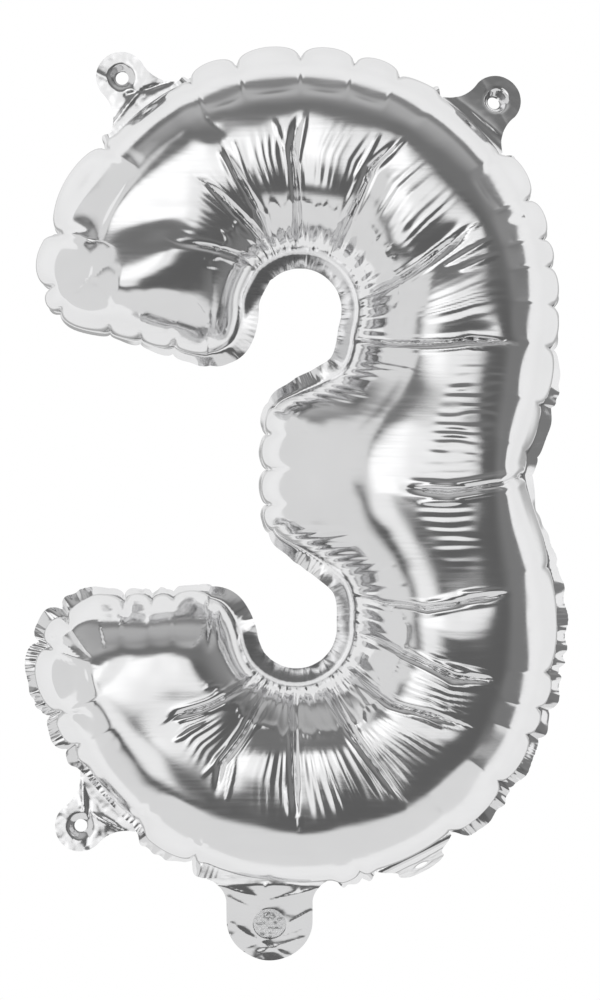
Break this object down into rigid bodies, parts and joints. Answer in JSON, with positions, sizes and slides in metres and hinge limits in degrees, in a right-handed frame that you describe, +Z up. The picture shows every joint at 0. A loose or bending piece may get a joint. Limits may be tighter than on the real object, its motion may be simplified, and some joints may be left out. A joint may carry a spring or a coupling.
{
  "type": "foil number balloon",
  "caption": "Air-filled foil balloon in the shape of the digit 3, with four hanging tabs, a tail with an inflation inlet and a two-film valve.",
  "frame": {"origin": "centre of the whole balloon's box, in the plane of the weld", "axes": "+Z up along the digit's height, -Y towards the reader, +X to the reader's right"},
  "size_m": [0.22, 0.077, 0.384],
  "materials": {
    "silver_foil": "mirror silver metallised film with a light satin, crinkled along the welds",
    "valve_film": "clear thin film, finely crinkled"
  },
  "bodies": {
    "balloon": {"front_film": "silver_foil", "back_film": "silver_foil", "valve_sleeve_front": "valve_film", "valve_sleeve_back": "valve_film"},
    "tab_top_left": {"tab_top_left_front": "silver_foil", "tab_top_left_back": "silver_foil"},
    "tab_top_right": {"tab_top_right_front": "silver_foil", "tab_top_right_back": "silver_foil"},
    "tab_bottom_left": {"tab_bottom_left_front": "silver_foil", "tab_bottom_left_back": "silver_foil"},
    "tab_bottom_right": {"tab_bottom_right_front": "silver_foil", "tab_bottom_right_back": "silver_foil"},
    "tail": {"tail_front": "silver_foil", "tail_back": "silver_foil", "valve_inlet_front": "valve_film", "valve_inlet_back": "valve_film"}
  },
  "joints": [
    {"name": "tab_top_left_fold", "type": "hinge", "parent": "balloon", "child": "tab_top_left", "pos_m": [-0.06483, 0, 0.16611], "axis": [0.7934, 0, 0.6088], "range_deg": [-82, 98], "stiffness_Nm_per_rad": 0.00002},
    {"name": "tab_top_right_fold", "type": "hinge", "parent": "balloon", "child": "tab_top_right", "pos_m": [0.07161, 0, 0.15841], "axis": [0.7314, 0, -0.682], "range_deg": [-60, 120], "stiffness_Nm_per_rad": 0.00002},
    {"name": "tab_bottom_left_fold", "type": "hinge", "parent": "balloon", "child": "tab_bottom_left", "pos_m": [-0.07989, 0, -0.12291], "axis": [-0.6691, 0, 0.7431], "range_deg": [-85, 95], "stiffness_Nm_per_rad": 0.00002},
    {"name": "tab_bottom_right_fold", "type": "hinge", "parent": "balloon", "child": "tab_bottom_right", "pos_m": [0.04767, 0, -0.14454], "axis": [-0.891, 0, -0.454], "range_deg": [-22, 158], "stiffness_Nm_per_rad": 0.00002},
    {"name": "tail_fold", "type": "hinge", "parent": "balloon", "child": "tail", "pos_m": [-0.01275, 0, -0.15498], "axis": [-1, 0, 0], "range_deg": [-84, 96], "stiffness_Nm_per_rad": 0.0001}
  ]
}
